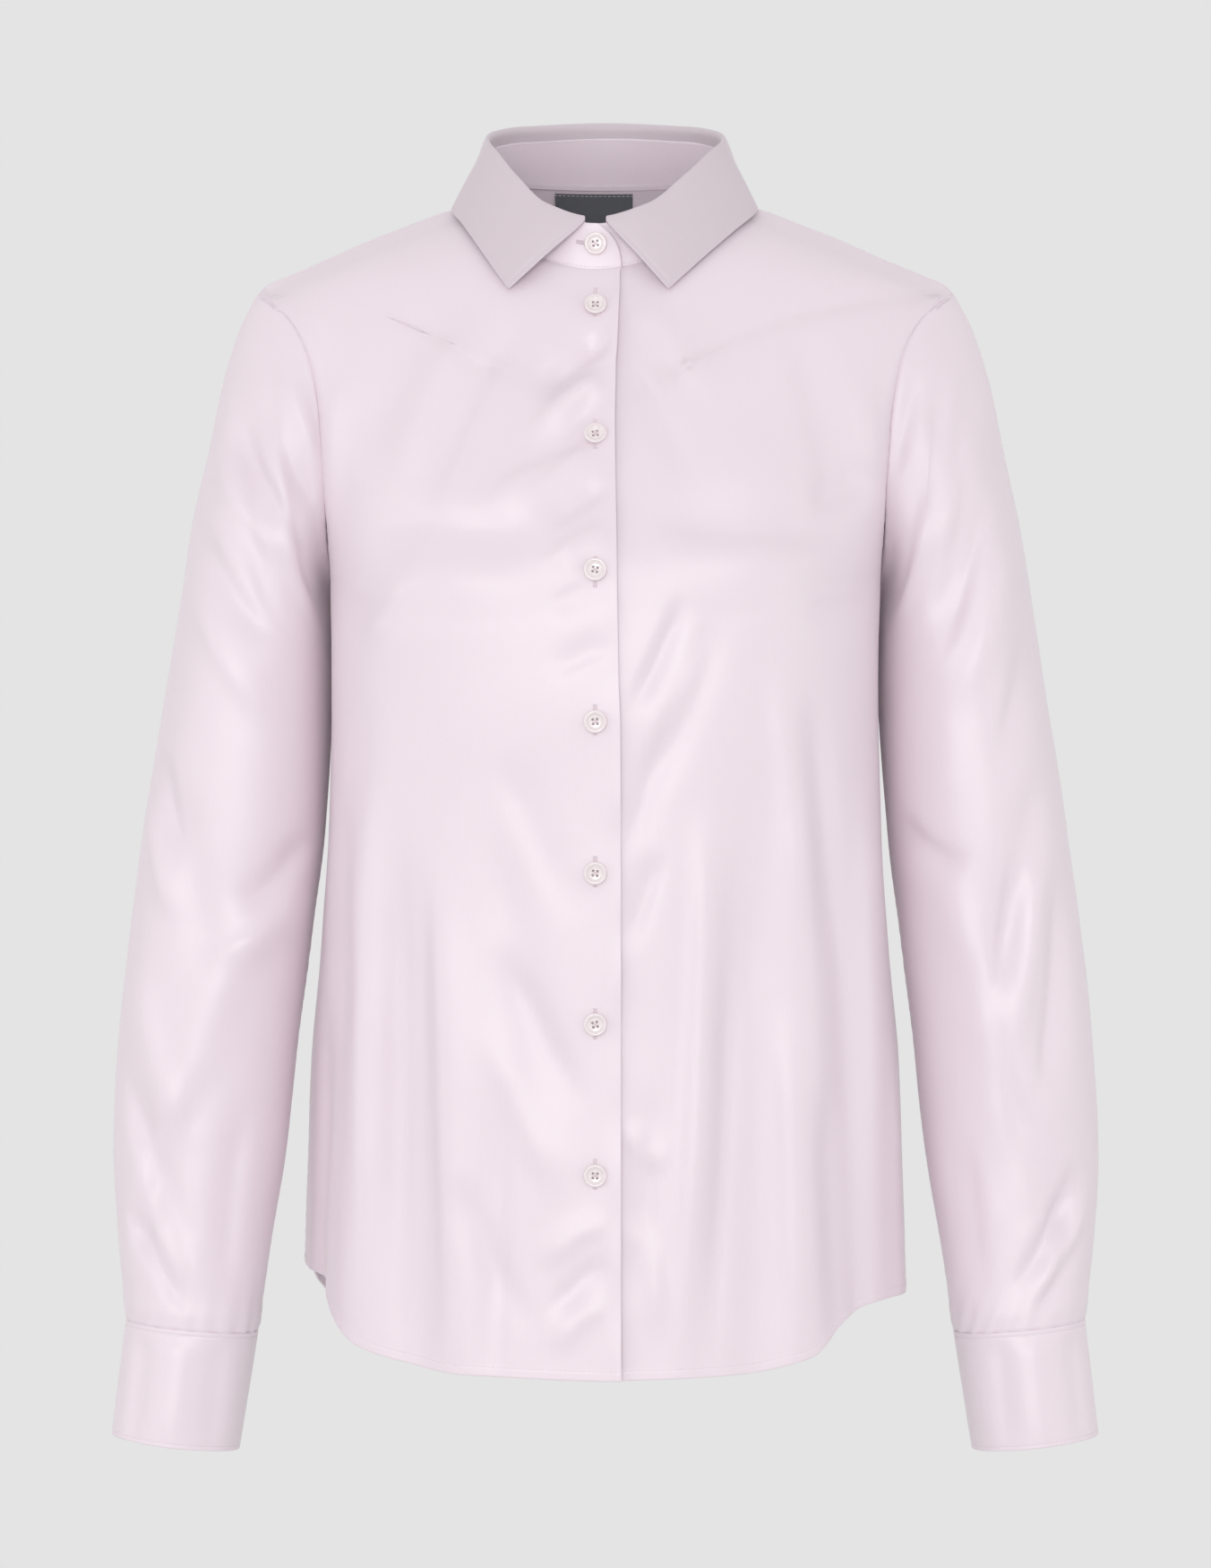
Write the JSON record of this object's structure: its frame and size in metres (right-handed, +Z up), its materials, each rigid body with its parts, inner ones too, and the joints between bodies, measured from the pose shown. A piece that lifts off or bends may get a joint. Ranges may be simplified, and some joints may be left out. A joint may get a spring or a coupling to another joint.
{
  "type": "long sleeve dress shirt",
  "caption": "Long sleeve dress shirt, hollow and filled out as worn, with a turn-down collar, a buttoned front, a curved hem and buttoned cuffs.",
  "frame": {"origin": "Where the wearer's shoulders hold it: midway between the neck ends of the two shoulder seams, on the middle plane of the body.", "axes": "+Z up, -Y out of the front, +X to the wearer's left"},
  "size_m": [0.5328, 0.2657, 0.7235],
  "materials": {
    "cotton_satin": "fine satin weave with a soft sheen",
    "shell_button": "polished, pearly",
    "label_weave": "matt woven tape"
  },
  "bodies": {
    "root": {"front_right": "cotton_satin", "front_left": "cotton_satin", "back": "cotton_satin", "sleeve_right": "cotton_satin", "sleeve_left": "cotton_satin", "sleeve_placket_right": "cotton_satin", "sleeve_placket_left": "cotton_satin", "cuff_right": "cotton_satin", "cuff_left": "cotton_satin", "collar_stand": "cotton_satin", "collar_fall": "cotton_satin", "neck_label": "label_weave", "button_stand": "shell_button", "button_1": "shell_button", "button_2": "shell_button", "button_3": "shell_button", "button_4": "shell_button", "button_5": "shell_button", "button_6": "shell_button", "button_7": "shell_button", "cuff_button_right": "shell_button", "cuff_button_left": "shell_button"}
  },
  "joints": []
}
